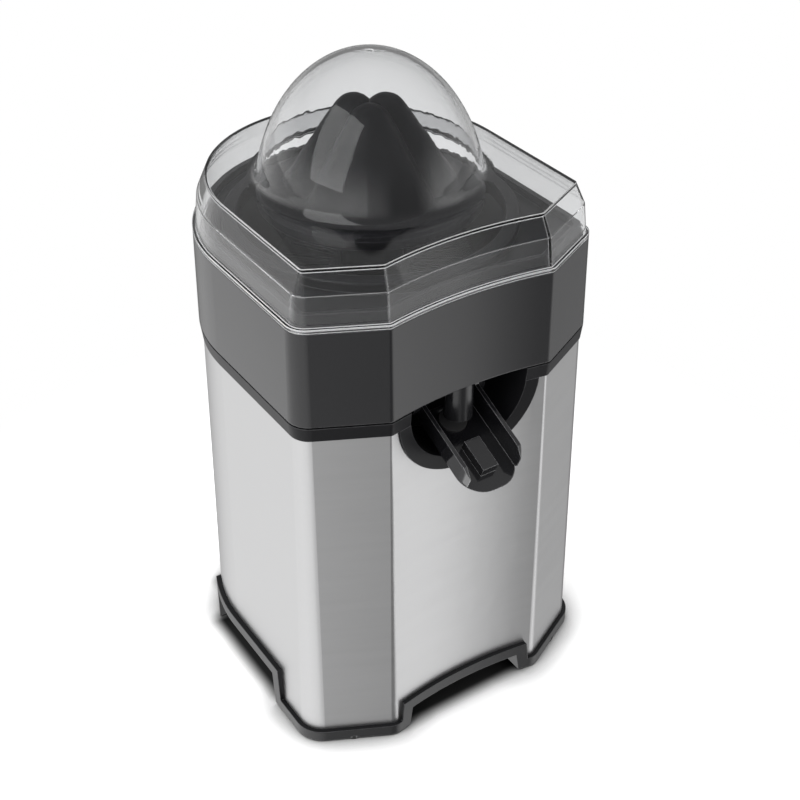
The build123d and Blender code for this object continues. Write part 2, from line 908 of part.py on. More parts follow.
def cord_grommet():
    """Rubber bush where the cord would enter through the bottom cover."""
    neck = tube(grommet_radius - touch, grommet_bore, bottom_low, bottom_top, 0, grommet_reach)
    wide = grommet_radius + grommet_flange
    lower = tube(wide, grommet_bore, bottom_low - grommet_flange, bottom_low, 0, grommet_reach)
    upper = tube(wide, grommet_bore, bottom_top, bottom_top + grommet_flange, 0, grommet_reach)
    return neck + lower + upper


def terminal_place():
    """Near left corner of the terminal block, beside the cord inlet."""
    return -core_half - block_length / 2, grommet_reach - block_length / 2 - grommet_radius


def well_pitch():
    """Distance between the terminal block's wells."""
    return block_length / 3.5


def terminal_block():
    """Block on the bottom cover where the cord's wires meet the inner leads."""
    x, y = terminal_place()
    top = bottom_top + block_height
    body = block(x, x + block_length, y, y + block_width, bottom_top, top)
    for place in (-1, 0, 1):
        middle = x + block_length / 2 + place * well_pitch()
        body -= rod(2 * lead_radius, top - terminal_well, top + past, middle, y + block_width / 2)
    return body


def juice_collector():
    """Dark collector: outer wall, upstand for the cover, sloping floor, chimney and drain."""
    wall = frustum(collector_grow_low, collector_base, collector_grow_high, collector_top)
    foot = cover_grow_low - cover_wall - 2 * slip
    head = cover_grow_shoulder - cover_wall - 2 * slip
    upstand_top = collector_top + upstand_height
    upstand = frustum(foot, collector_top, head, upstand_top)
    inner_low = collector_grow_low - plastic_wall
    inner_high = collector_grow_high - plastic_wall
    roof = collector_top - plastic_wall
    floor_top = collector_floor + plastic_wall
    body = wall + upstand
    body -= prism(inner_low, collector_base - past, collector_floor)
    body -= frustum(inner_low, floor_top, inner_high, roof)
    body -= prism(lip_grow, roof - past, collector_top + past)
    body -= frustum(foot - plastic_wall, collector_top, head - plastic_wall, upstand_top)
    tilt = Pos(0, -front_reach, floor_top) * Rot(floor_slope, 0, 0)
    under = tilt * block(-body_span, body_span, -body_span, 2 * body_span, -collector_height, 0)
    body += prism(inner_low + merge, collector_floor, roof) & under
    body += rod(chimney_bore + chimney_wall, collector_floor, chimney_top)
    body += rod(drain_bore + drain_wall, drain_end, floor_top, 0, -drain_reach)
    for side in (-1, 1):
        x0 = side * (spout_half + slip)
        x1 = side * (spout_half + slip + lug_wall)
        x0, x1 = min(x0, x1), max(x0, x1)
        lug = block(x0, x1, -pivot_reach - ear_radius, -pivot_reach + ear_radius, pivot_height, floor_top)
        body += lug + cross_rod(ear_radius, x0, x1, -pivot_reach, pivot_height)
    body -= rod(chimney_bore, collector_floor - past, chimney_top + past)
    body -= rod(drain_bore, drain_end - past, roof, 0, -drain_reach)
    reach = spout_half + slip + lug_wall
    return body - cross_rod(spout_pin_radius, -reach, reach, -pivot_reach, pivot_height)


def spout_pin():
    """Steel pin through both lugs, on which the spout turns."""
    reach = spout_half + slip + lug_wall
    return cross_rod(spout_pin_radius, -reach, reach, -pivot_reach, pivot_height)


def spout_frame():
    """Frame of the spout at rest: X across, Y out along the trough, Z away from its floor."""
    return Pos(0, -pivot_reach, pivot_height) * Rot(spout_slope, 0, 0)


def trough_block(half, y0, y1, z0, z1):
    """Box in the spout's own frame, where positive Y here is the way that the juice runs."""
    return block(-half, half, -y1, -y0, z0, z1)


def spout():
    """Gloss black trough that tips up to stop the drip, with a raised pad in its floor."""
    floor_top = spout_bottom + spout_floor_wall
    inner_half = spout_half - spout_wall
    body = trough_block(spout_half, -ear_radius, spout_length, spout_bottom, spout_top)
    nose = [e for e in body.edges().filter_by(Axis.Z) if e.center().Y < 0]
    body = fillet(nose, spout_nose_round)
    lower = body.edges().group_by(Axis.Z)[0]
    rounded = [e for e in lower if e.center().Y < ear_radius - merge]
    body = fillet(rounded, spout_edge_round)
    body += cross_rod(ear_radius, -spout_half, spout_half, 0, 0)
    body -= trough_block(inner_half, -2 * ear_radius, spout_length + past, floor_top, 2 * ear_radius)
    slope = math.degrees(math.atan2(spout_nose_drop, spout_length - spout_wall_end))
    cut = block(-body_span, body_span, -2 * spout_length, 0, 0, 2 * spout_length)
    body -= Pos(0, -spout_wall_end, spout_top) * Rot(slope, 0, 0) * cut
    body -= trough_block(spout_half + past, -3 * ear_radius, 0, -3 * ear_radius, -ear_radius)
    body -= trough_block(inner_half, -3 * ear_radius, spout_mouth, -3 * ear_radius, 3 * ear_radius)
    body += trough_block(pad_half, pad_start, pad_end, floor_top - merge, pad_top)
    body -= cross_rod(spout_pin_radius + running, -body_span, body_span, 0, 0)
    return spout_frame() * body


def drip_seal():
    """Soft disc on the trough's floor that meets the drain when the spout is tipped up."""
    floor_top = spout_bottom + spout_floor_wall
    radius = drain_bore + drain_wall
    reach = (drain_reach - pivot_reach) / math.cos(math.radians(spout_slope / 2))
    disc = Pos(0, -reach, 0) * rod(radius, floor_top, floor_top + seal_wall)
    return spout_frame() * disc


def slot_cutter(low, high):
    """Ring of radial slots between two heights."""
    length = slot_outer - slot_inner
    one = extrude(SlotOverall(length, slot_width), amount=high - low)
    one = Pos((slot_inner + slot_outer) / 2, 0, low) * one
    return [Rot(0, 0, 360 * index / slot_count) * one for index in range(slot_count)]


def strainer_basket():
    """Strainer: an outline-shaped plate, a raised round rim, and a slotted bowl with a tube."""
    grow = cover_grow_shoulder - cover_wall - 2 * slip - plastic_wall - slip
    plate = prism(grow, strainer_low, strainer_top)
    rim = rod(rim_radius, strainer_top, rim_top)
    rim = fillet(rim.edges().group_by(Axis.Z)[-1], rim_round)
    floor_low = bowl_floor_top - bowl_wall
    outer = revolved([(0, floor_low), (bowl_floor_radius + bowl_wall, floor_low),
                      (bowl_radius, strainer_low), (bowl_radius, strainer_top), (0, strainer_top)])
    inner = revolved([(0, bowl_floor_top), (bowl_floor_radius, bowl_floor_top),
                      (bowl_radius - bowl_wall, strainer_low), (bowl_radius - bowl_wall, rim_top + past),
                      (0, rim_top + past)])
    bore = chimney_bore + chimney_wall + tube_clear
    body = plate + rim + outer - inner
    tube_low = floor_low - ring_wall - 2 * slip - snap_wall
    body += rod(bore + bowl_wall, tube_low, tube_top)
    body += snap_lugs(bore + bowl_wall, floor_low)
    body -= rod(bore, tube_low - past, tube_top + past)
    for cutter in slot_cutter(floor_low - past, bowl_floor_top + past):
        body -= cutter
    return body


def snap_lugs(radius, floor_low):
    """Three small lugs that keep the pulp ring under the bowl."""
    high = floor_low - ring_wall - 2 * slip
    lug = block(radius - merge, radius + snap_reach, -snap_half, snap_half, high - snap_wall, high)
    lugs = Part()
    for index in range(3):
        lugs += Rot(0, 0, 120 * index) * lug
    return lugs


def pulp_control_ring():
    """Slotted ring under the strainer that turns to narrow its slots, with a finger tab."""
    top = bowl_floor_top - bowl_wall - slip
    inner = chimney_bore + chimney_wall + tube_clear + bowl_wall + running
    plate = tube(bowl_floor_radius, inner, top - ring_wall, top)
    tab = block(bowl_floor_radius - tab_half, bowl_floor_radius + tab_reach, -tab_half, tab_half,
                top - ring_wall, top)
    plate += Rot(0, 0, tab_turn) * tab
    for cutter in slot_cutter(top - ring_wall - past, top + past):
        plate -= cutter
    return plate


def groove_radius(reach, radius):
    """Distance from the axis to the groove between two round lobes of one size."""
    half = math.pi / lobe_count
    return reach * math.cos(half) + math.sqrt(radius**2 - (reach * math.sin(half))**2)


def reamer():
    """Lobed cone with a wide flange, hollow inside, with a six-sided socket for the shaft."""
    foot = flange_top - flange_wall / 2
    cone = Part()
    for index in range(lobe_count):
        cone += Rot(0, 0, lobe_turn + 360 * index / lobe_count) * lobe()
    cone &= rod(flange_radius, foot, reamer_tip + lobe_tip_radius)
    edge = flange_radius - flange_wall
    under = flange_top - flange_wall - flange_round
    groove = groove_radius(lobe_reach, lobe_radius)
    skirt = revolved([
        (0, lobe_base), (groove, lobe_base), (flange_radius - flange_round, flange_top),
        (flange_radius, flange_top - flange_round), (flange_radius, under - flange_lip),
        (edge, under - flange_lip), (edge, under), (0, under),
    ])
    valley = groove - reamer_wall
    top = groove_radius(lobe_tip_reach, lobe_tip_radius) - reamer_wall * 2
    cavity = revolved([
        (0, under - past), (valley, under - past), (valley, foot), (top, crown_under), (0, crown_under),
    ])
    hub = rod(shaft_flange_radius, seat_height + touch, crown_under + reamer_wall / 2)
    hub -= Pos(0, 0, seat_height) * six_sided(hex_flats / 2 + running, hex_length + slip)
    return cone + skirt - cavity + hub


def lobe():
    """One lobe of the reamer, along +X: a cone with a round tip that leans in to the axis."""
    rise = reamer_tip - lobe_base
    lean = math.atan2(lobe_reach - lobe_tip_reach, rise)
    length = rise / math.cos(lean)
    ball = length - lobe_tip_radius
    slope = math.atan2(lobe_radius, ball) - math.asin(lobe_tip_radius / math.hypot(lobe_radius, ball))
    meet = (lobe_tip_radius * math.cos(slope), ball + lobe_tip_radius * math.sin(slope))
    drop = lobe_radius * math.sin(lean) + lobe_foot + flange_wall
    low = (lobe_radius + drop * math.tan(slope), -drop)
    turn = math.degrees(slope)
    profile = make_face([
        Line((0, -drop), low),
        Line(low, meet),
        CenterArc((0, ball), lobe_tip_radius, turn, 90 - turn),
        Line((0, length), (0, -drop)),
    ])
    body = revolve(Plane.XZ * profile, Axis.Z)
    return Pos(lobe_reach, 0, lobe_base) * Rot(0, -math.degrees(lean), 0) * body


def dust_cover():
    """Clear cover: flange, band, bevel and a flat top that flares up into the dome."""
    flange = prism(collector_grow_high, cover_base, cover_base + cover_flange_wall)
    band = frustum(cover_grow_low, cover_base, cover_grow_shoulder, shoulder_top)
    bevel = frustum(cover_grow_shoulder, shoulder_top, cover_grow_top, plate_top)
    inside = frustum(cover_grow_low - cover_wall, cover_base,
                     cover_grow_shoulder - cover_wall, shoulder_top - cover_wall / 2)
    inside += frustum(cover_grow_shoulder - cover_wall, shoulder_top - cover_wall / 2,
                      cover_grow_top - cover_wall / 2, plate_top - cover_wall)
    plate = flange + band + bevel - inside
    plate -= rod(flare_radius, shoulder_top, plate_top + past)
    shell = plate + dome_shell()
    return shell - rod(gate_radius, overall_height - gate_depth, overall_height + past)


def dome_side(inset):
    """Dome and flare in section, from the top to the flat plate, drawn in by a wall."""
    wide = dome_radius - inset
    rise = overall_height - dome_center - inset
    angle = math.asin(dome_sink / rise)
    foot = (wide * math.cos(angle), dome_base)
    lean = (wide * math.sin(angle), -rise * math.cos(angle))
    lowest = math.degrees(angle)
    arc = EllipticalCenterArc((0, dome_center), wide, rise, lowest, arc_size=90 - lowest)
    flare = Spline(foot, (flare_radius, plate_top - inset), tangents=[lean, (1, 0)])
    return [arc, flare]


def dome_shell():
    """Clear dome that flares smoothly out into the flat plate."""
    edges = dome_side(0) + dome_side(cover_wall)
    edges.append(Line((0, overall_height), (0, overall_height - cover_wall)))
    edges.append(Line((flare_radius, plate_top), (flare_radius, plate_top - cover_wall)))
    return revolve(Plane.XZ * make_face(edges), Axis.Z)


def lead(points):
    """Round insulated lead along straight runs joined by arcs."""
    path = FilletPolyline(*points, radius=lead_bend)
    return sweep(Plane(path @ 0, z_dir=path % 0) * Circle(lead_radius), path)


def inner_leads():
    """Three leads: terminal block to coil, terminal block to switch, and switch to coil."""
    x, y = terminal_place()
    wells = [x + block_length / 2 + place * well_pitch() for place in (-1, 0)]
    row = y + block_width / 2
    floor = bottom_top + block_height - terminal_well
    coil_front = motor_y - core_front - coil_wall
    low = (bottom_top + block_height + core_low - bracket_stand - bracket_wall) / 2
    deep = coil_front + coil_wall - lead_bend
    left = -coil_half / 2
    to_coil = [(wells[0], row, floor), (wells[0], row, low), (wells[0], deep, low),
               (left, deep, low), (left, deep, core_low - coil_wall)]
    aside = core_half + 2 * lead_bend
    into = switch_start() + switch_length * 0.7
    under = switch_low() - 2 * lead_bend
    level = low - 2 * lead_bend / 3
    to_switch = [(wells[1], row, floor), (wells[1], row, level), (aside, row, level),
                 (aside, 0, level), (aside, 0, under), (into, 0, under), (into, 0, switch_low())]
    face = -switch_width / 2
    out = coil_front - 2 * lead_bend
    middle = (core_low + core_top) / 2
    high = switch_middle()
    step = switch_start() + switch_length / 2
    between = [(step, face, high), (step, out, high), (step, out, middle), (0, out, middle),
               (0, coil_front, middle)]
    return [lead(points) for points in (to_coil, to_switch, between)]


parts = {
    "steel_housing": steel_housing,
    "base_trim": base_trim,
    "rubber_feet": rubber_feet,
    "bottom_cover": bottom_cover,
    "cord_grommet": cord_grommet,
    "terminal_block": terminal_block,
    "inner_leads": inner_leads,
    "deck": deck,
    "shaft_seal": shaft_seal,
    "gearbox_cover": gearbox_cover,
    "gearbox_base": gearbox_base,
    "upper_bush": upper_bush,
    "lower_bush": lower_bush,
    "idler_axle": idler_axle,
    "idler_gear": idler_gear,
    "motor_pinion": motor_pinion,
    "output_gear": output_gear,
    "drive_shaft": drive_shaft,
    "thrust_washer": thrust_washer,
    "gear_clip": gear_clip,
    "thrust_cup": thrust_cup,
    "return_spring": return_spring,
    "microswitch": microswitch,
    "switch_lever": switch_lever,
    "switch_screws": switch_screws,
    "motor_core": motor_core,
    "motor_coil": motor_coil,
    "motor_top_bracket": lambda: motor_bracket(core_top, 1),
    "motor_bottom_bracket": lambda: motor_bracket(core_low, -1),
    "motor_bearings": motor_bearings,
    "motor_rotor": motor_rotor,
    "base_screws": base_screws,
    "gearbox_screws": gearbox_screws,
    "motor_screws": motor_screws,
    "juice_collector": juice_collector,
    "spout_pin": spout_pin,
    "spout": spout,
    "drip_seal": drip_seal,
    "strainer_basket": strainer_basket,
    "pulp_control_ring": pulp_control_ring,
    "reamer": reamer,
    "dust_cover": dust_cover,
}


def build():
    """Make every part, shift all of them to the common origin and write the files."""
    made = {name: make() for name, make in parts.items()}
    low = made["spout"].bounding_box().min.Y
    high = made["base_trim"].bounding_box().max.Y
    shift = Pos(0, -(low + high) / 2, 0)
    os.makedirs("parts", exist_ok=True)
    for name, shape in made.items():
        if isinstance(shape, list):
            placed = Compound(children=[shift * solid for solid in shape])
        else:
            placed = shift * shape
        export_step(placed, f"parts/{name}.step")
    print(f"drive axis at Y {-(low + high) / 2:.3f}")


build()
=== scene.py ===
import json
import logging
import math
from dataclasses import dataclass, field
from typing import Any

import bpy
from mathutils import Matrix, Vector


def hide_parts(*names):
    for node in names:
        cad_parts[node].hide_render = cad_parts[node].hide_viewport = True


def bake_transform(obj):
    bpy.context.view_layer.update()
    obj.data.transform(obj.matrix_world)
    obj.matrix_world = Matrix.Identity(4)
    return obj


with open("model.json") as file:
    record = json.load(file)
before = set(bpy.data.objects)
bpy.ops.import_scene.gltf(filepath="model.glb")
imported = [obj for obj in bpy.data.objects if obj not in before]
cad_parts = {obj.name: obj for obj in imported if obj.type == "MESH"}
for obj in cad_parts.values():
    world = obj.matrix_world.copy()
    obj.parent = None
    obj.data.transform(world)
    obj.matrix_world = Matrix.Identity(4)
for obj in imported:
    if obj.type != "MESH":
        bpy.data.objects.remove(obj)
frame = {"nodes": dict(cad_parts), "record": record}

LOG = logging.getLogger("citrus_juicer")

Socket = bpy.types.NodeSocket
Triple = tuple[float, float, float]

WHITE = [1.0, 1.0, 1.0, 1.0]
# Places of a colour mix's share, two colours and result among its sockets.
MIX_INPUTS = (0, 6, 7)
MIX_RESULT = 2
# Rays that the rounded edges are worked out from.
EDGE_SAMPLES = 6


class Graph:
    """Thin helper round one node tree."""

    def __init__(self, tree: bpy.types.NodeTree) -> None:
        """Keep the tree that nodes are added to."""
        self.tree = tree

    def add(self, kind: str, sockets: dict[str, Any] | None = None, **options: Any) -> bpy.types.Node:
        """Add a node.

        Args:
            kind: Blender's type name of the node.
            sockets: values, or output sockets to link, by input name.
            options: attributes of the node itself.

        Returns:
            The new node.
        """
        node = self.tree.nodes.new(kind)
        for name, value in options.items():
            setattr(node, name, value)
        for name, value in (sockets or {}).items():
            self.feed(node, name, value)
        return node

    def feed(self, node: bpy.types.Node, name: str | int, value: Any) -> None:
        """Set an input of a node, or link an output socket to it."""
        if isinstance(value, Socket):
            self.tree.links.new(value, node.inputs[name])
        else:
            node.inputs[name].default_value = value

    def place(self) -> Socket:
        """Return the object coordinates."""
        return self.add("ShaderNodeTexCoord").outputs["Object"]

    def math(self, kind: str, first: Any, second: Any = 0.0) -> Socket:
        """Add a math node and return its output."""
        node = self.add("ShaderNodeMath", operation=kind)
        self.feed(node, 0, first)
        self.feed(node, 1, second)
        return node.outputs[0]

    def vector(self, kind: str, result: str, first: Any, second: Any) -> Socket:
        """Add a vector math node and return the named output."""
        node = self.add("ShaderNodeVectorMath", operation=kind)
        self.feed(node, 0, first)
        self.feed(node, 1, second)
        return node.outputs[result]

    def span(self, value: Any, low: float, high: float) -> Socket:
        """Map a value from 0 to 1 onto a range and return the output."""
        node = self.add("ShaderNodeMapRange", {"Value": value, "To Min": low, "To Max": high})
        return node.outputs["Result"]

    def smooth(self, value: Any, start: float, end: float, low: float = 0.0) -> Socket:
        """Ease from a low level, where a value is at start, to 1 at end, and return the output."""
        node = self.add("ShaderNodeMapRange", {
            "Value": value, "From Min": start, "From Max": end, "To Min": low},
            interpolation_type="SMOOTHSTEP")
        return node.outputs["Result"]

    def mix(self, share: Any, first: Any, second: Any, kind: str = "MIX") -> Socket:
        """Mix two colours by a share and return the output."""
        node = self.add("ShaderNodeMix", data_type="RGBA", blend_type=kind)
        for name, value in zip(MIX_INPUTS, (share, first, second)):
            self.feed(node, name, value)
        return node.outputs[MIX_RESULT]

    def join(self, share: Any, first: Socket, second: Socket) -> Socket:
        """Mix two shaders by a share and return the output."""
        node = self.add("ShaderNodeMixShader", {"Fac": share})
        self.feed(node, 1, first)
        self.feed(node, 2, second)
        return node.outputs[0]


class Effects:
    """Shader node groups that several finishes share, each built once.

    Attributes:
        wear_and_highlight_gain: how fast an edge's sharpness turns into edge lightening, partly wear and
            partly a painted highlight.
        grit: grains per metre that break up that edge lightening.
    """

    wear_and_highlight_gain = 5.0
    grit = 420.0
    _made: dict[str, bpy.types.NodeTree] = {}

    @classmethod
    def start(cls, name: str, inputs: dict[str, float], outputs: list[str]) -> tuple[Graph, Any, Any]:
        """Open a new group.

        Args:
            name: name of the group.
            inputs: float inputs with their usual values.
            outputs: names of the outputs, floats but for a Normal.

        Returns:
            The group's graph, its input node and its output node.
        """
        tree = bpy.data.node_groups.new(name, "ShaderNodeTree")
        for label, value in inputs.items():
            socket = tree.interface.new_socket(label, in_out="INPUT", socket_type="NodeSocketFloat")
            socket.default_value = value
        for label in outputs:
            kind = "NodeSocketVector" if label == "Normal" else "NodeSocketFloat"
            tree.interface.new_socket(label, in_out="OUTPUT", socket_type=kind)
        graph = Graph(tree)
        cls._made[name] = tree
        return graph, graph.add("NodeGroupInput"), graph.add("NodeGroupOutput")

    @classmethod
    def mould_grain(cls) -> bpy.types.NodeTree:
        """Fine moulded grain with slow mottling: outputs Height and Mottle."""
        if "MouldGrain" in cls._made:
            return cls._made["MouldGrain"]
        values = {"Grain": 900.0, "Patch": 22.0}
        graph, given, out = cls.start("MouldGrain", values, ["Height", "Mottle"])
        place = graph.place()
        for label, name, detail in (("Grain", "Height", 3.0), ("Patch", "Mottle", 4.0)):
            noise = graph.add("ShaderNodeTexNoise", {
                "Vector": place, "Scale": given.outputs[label], "Detail": detail})
            graph.feed(out, name, noise.outputs["Fac"])
        return cls._made["MouldGrain"]

    @classmethod
    def brush_lines(cls) -> bpy.types.NodeTree:
        """Long fine lines round the piece: outputs Height and Streak."""
        if "BrushLines" in cls._made:
            return cls._made["BrushLines"]
        values = {"Lines": 2600.0, "Run": 14.0, "Bands": 260.0}
        graph, given, out = cls.start("BrushLines", values, ["Height", "Streak"])
        place = graph.place()
        for label, name, detail in (("Lines", "Height", 2.0), ("Bands", "Streak", 5.0)):
            scale = graph.add("ShaderNodeCombineXYZ", {
                "X": given.outputs["Run"], "Y": given.outputs["Run"], "Z": given.outputs[label]})
            drawn = graph.vector("MULTIPLY", "Vector", place, scale.outputs[0])
            noise = graph.add("ShaderNodeTexNoise", {
                "Vector": drawn, "Scale": 1.0, "Detail": detail, "Roughness": 0.65})
            graph.feed(out, name, noise.outputs["Fac"])
        return cls._made["BrushLines"]

    @classmethod
    def rounded_edge_wear_and_highlight(cls) -> bpy.types.NodeTree:
        """Rounded normal at edges and a mask that is 1 on the sharpest, for edge lightening that is partly
        wear and partly a painted highlight: outputs Normal and WearAndHighlight.
        """
        if "EdgeWearAndHighlight" in cls._made:
            return cls._made["EdgeWearAndHighlight"]
        graph, given, out = cls.start("EdgeWearAndHighlight", {"Radius": 0.0006}, ["Normal", "WearAndHighlight"])
        bevel = graph.add("ShaderNodeBevel", {"Radius": given.outputs["Radius"]}, samples=EDGE_SAMPLES)
        plain = graph.add("ShaderNodeNewGeometry")
        turn = graph.vector("DOT_PRODUCT", "Value", bevel.outputs["Normal"], plain.outputs["Normal"])
        # Edge mask, broken up by grit: the lightening it drives is partly wear and partly a painted
        # highlight.
        wear_and_highlight = graph.math("MULTIPLY", graph.math("SUBTRACT", 1.0, turn), cls.wear_and_highlight_gain)
        grit = graph.add("ShaderNodeTexNoise", {"Vector": graph.place(), "Scale": cls.grit, "Detail": 3.0})
        wear_and_highlight = graph.math("MULTIPLY", wear_and_highlight, grit.outputs["Fac"])
        clamp = graph.add("ShaderNodeClamp", {"Value": wear_and_highlight})
        graph.feed(out, "Normal", bevel.outputs["Normal"])
        graph.feed(out, "WearAndHighlight", clamp.outputs[0])
        return cls._made["EdgeWearAndHighlight"]

    @classmethod
    def finger_film(cls) -> bpy.types.NodeTree:
        """Faint wiped film on smooth plastic: output Film."""
        if "FingerFilm" in cls._made:
            return cls._made["FingerFilm"]
        graph, given, out = cls.start("FingerFilm", {"Scale": 16.0}, ["Film"])
        noise = graph.add("ShaderNodeTexNoise", {
            "Vector": graph.place(), "Scale": given.outputs["Scale"], "Detail": 6.0, "Roughness": 0.6,
            "Distortion": 1.2})
        graph.feed(out, "Film", noise.outputs["Fac"])
        return cls._made["FingerFilm"]


@dataclass(frozen=True)
class Finish:
    """One surface finish: a named material that can be given to any piece.

    Attributes:
        name: the material's name, which is also the record's slot.
        colour: linear base colour.
        roughness: middle roughness.
    """

    name: str
    colour: Triple
    roughness: float

    def material(self) -> bpy.types.Material:
        """Return the material, made on first use."""
        found = bpy.data.materials.get("finish_" + self.name)
        if found is not None:
            return found
        made = bpy.data.materials.new("finish_" + self.name)
        made.use_nodes = True
        made.node_tree.nodes.clear()
        self.draw(Graph(made.node_tree))
        return made

    def draw(self, graph: Graph) -> None:
        """Fill the material's node tree."""
        raise NotImplementedError

    def toned(self, graph: Graph, value: Any, swing: float) -> Socket:
        """Return the base colour, lightened and darkened by a value.

        Args:
            graph: the material's graph.
            value: mask from 0 to 1.
            swing: share of the colour that the mask moves either way.

        Returns:
            The colour output.
        """
        low = [max(0.0, c * (1.0 - swing)) for c in self.colour] + [1.0]
        high = [min(1.0, c * (1.0 + swing)) for c in self.colour] + [1.0]
        return graph.mix(value, low, high)

    def roughened(self, graph: Graph, value: Any, low: float, high: float) -> Socket:
        """Return the roughness, moved by a mask between two shares of its middle."""
        return graph.span(value, self.roughness * low, min(1.0, self.roughness * high))

    def close(self, graph: Graph, shader: Socket) -> None:
        """Join the shader to the material's output."""
        graph.add("ShaderNodeOutputMaterial", {"Surface": shader})


@dataclass(frozen=True)
class Moulded(Finish):
    """Moulded plastic or rubber, with grain, mottling and edges lightened partly as wear and partly as a
    painted highlight.

    Attributes:
        grain: grains per metre.
        depth: bump strength of the grain.
        mottle: share by which the colour varies.
        coat: clear coat weight, for gloss.
        wear_and_highlight: how much lighter the edges are, partly as wear and partly as a painted highlight.
        ior: index of refraction, which sets how strong the shine is.
        relief: height of the grain in metres, at full strength.
        wear_and_highlight_colour: colour that the edges are lightened towards.
    """

    grain: float = 900.0
    depth: float = 0.08
    mottle: float = 0.10
    coat: float = 0.0
    wear_and_highlight: float = 0.35
    ior: float = 1.5
    relief: float = 0.0004
    wear_and_highlight_colour: Triple = (0.35, 0.35, 0.36)

    def draw(self, graph: Graph) -> None:
        """Fill the material's node tree."""
        grain = graph.add("ShaderNodeGroup", node_tree=Effects.mould_grain())
        graph.feed(grain, "Grain", self.grain)
        edge = graph.add("ShaderNodeGroup", node_tree=Effects.rounded_edge_wear_and_highlight())
        film = graph.add("ShaderNodeGroup", node_tree=Effects.finger_film())
        base = self.toned(graph, grain.outputs["Mottle"], self.mottle)
        # Edges lightened towards a pale colour: partly wear, partly a painted highlight.
        wear_and_highlight = graph.math("MULTIPLY", edge.outputs["WearAndHighlight"], self.wear_and_highlight)
        worn_and_highlit = graph.mix(wear_and_highlight, base, [*self.wear_and_highlight_colour, 1.0], kind="SCREEN")
        bump = graph.add("ShaderNodeBump", {
            "Strength": self.depth, "Distance": self.relief, "Height": grain.outputs["Height"],
            "Normal": edge.outputs["Normal"]})
        shader = graph.add("ShaderNodeBsdfPrincipled", {
            "Base Color": worn_and_highlit, "Roughness": self.roughened(graph, film.outputs["Film"], 0.85, 1.2),
            "Normal": bump.outputs["Normal"], "IOR": self.ior, "Coat Weight": self.coat,
            "Coat Roughness": 0.06})
        self.close(graph, shader.outputs["BSDF"])


@dataclass(frozen=True)
class Metal(Finish):
    """Brushed, ground, cast or wound metal.

    Attributes:
        lines: fine lines per metre, across their run.
        run: lines per metre along their run, so that small is long.
        depth: bump strength of the lines.
        streak: share by which the colour varies in bands.
        anisotropy: how far highlights are drawn out.
        edge: radius that the edges look rounded to, in metres.
        relief: height of the lines in metres, at full strength.
    """

    lines: float = 2600.0
    run: float = 14.0
    depth: float = 0.06
    streak: float = 0.06
    anisotropy: float = 0.0
    edge: float = 0.0006
    relief: float = 0.0003

    def draw(self, graph: Graph) -> None:
        """Fill the material's node tree."""
        brush = graph.add("ShaderNodeGroup", node_tree=Effects.brush_lines())
        graph.feed(brush, "Lines", self.lines)
        graph.feed(brush, "Run", self.run)
        edge = graph.add("ShaderNodeGroup", node_tree=Effects.rounded_edge_wear_and_highlight())
        graph.feed(edge, "Radius", self.edge)
        streak = brush.outputs["Streak"]
        bump = graph.add("ShaderNodeBump", {
            "Strength": self.depth, "Distance": self.relief, "Height": brush.outputs["Height"],
            "Normal": edge.outputs["Normal"]})
        shader = graph.add("ShaderNodeBsdfPrincipled", {
            "Base Color": self.toned(graph, streak, self.streak), "Metallic": 1.0,
            "Roughness": self.roughened(graph, streak, 0.8, 1.2), "Normal": bump.outputs["Normal"],
            "Anisotropic": self.anisotropy, "Anisotropic Rotation": 0.25})
        if self.anisotropy > 0.0:
            tangent = graph.add("ShaderNodeTangent", direction_type="RADIAL", axis="Z")
            graph.feed(shader, "Tangent", tangent.outputs[0])
        self.close(graph, shader.outputs["BSDF"])


@dataclass(frozen=True)
class Clear(Finish):
    """Clear moulded plastic that lets lamp light through to what it covers.

    Attributes:
        edge: how much the edges that face the lit front catch the light.
        front: direction that those edges face.
        turn: how far an edge has to face it to catch the light in full.
        radius: half the width of an edge's light line, in metres.
        sharpness: how fast an edge's turn becomes a light line.
        swing: share by which the film varies the colour.
        passed: colour of the lamp light that comes through.
    """

    edge: float = 0.8
    front: Triple = (-0.6, -0.8, 0.0)
    turn: float = 0.35
    radius: float = 0.0007
    sharpness: float = 14.0
    swing: float = 0.02
    passed: Triple = (0.93, 0.93, 0.94)

    def lit_edge(self, graph: Graph) -> Socket:
        """Return a mask of the sharp edges on the lit sides."""
        bevel = graph.add("ShaderNodeBevel", {"Radius": self.radius}, samples=EDGE_SAMPLES)
        plain = graph.add("ShaderNodeNewGeometry")
        flat = graph.vector("DOT_PRODUCT", "Value", bevel.outputs["Normal"], plain.outputs["Normal"])
        facing = graph.vector("DOT_PRODUCT", "Value", bevel.outputs["Normal"], list(self.front))
        sharp = graph.math("MULTIPLY", graph.math("SUBTRACT", 1.0, flat), self.sharpness)
        line = graph.add("ShaderNodeClamp", {"Value": sharp})
        mask = graph.math("MULTIPLY", line.outputs[0], graph.smooth(facing, 0.0, self.turn))
        return graph.math("MULTIPLY", mask, self.edge)

    def draw(self, graph: Graph) -> None:
        """Fill the material's node tree."""
        film = graph.add("ShaderNodeGroup", node_tree=Effects.finger_film()).outputs["Film"]
        tone = self.toned(graph, film, self.swing)
        shader = graph.add("ShaderNodeBsdfPrincipled", {
            "Base Color": tone, "Roughness": self.roughened(graph, film, 0.5, 1.8), "IOR": 1.46,
            "Transmission Weight": 1.0})
        through = graph.add("ShaderNodeBsdfTransparent", {"Color": [*self.passed, 1.0]})
        rays = graph.add("ShaderNodeLightPath")
        unlit = graph.math("MAXIMUM", rays.outputs["Is Shadow Ray"], rays.outputs["Is Diffuse Ray"])
        glint = graph.add("ShaderNodeBsdfDiffuse", {"Color": tone})
        edged = graph.join(self.lit_edge(graph), shader.outputs["BSDF"], glint.outputs["BSDF"])
        self.close(graph, graph.join(unlit, edged, through.outputs["BSDF"]))


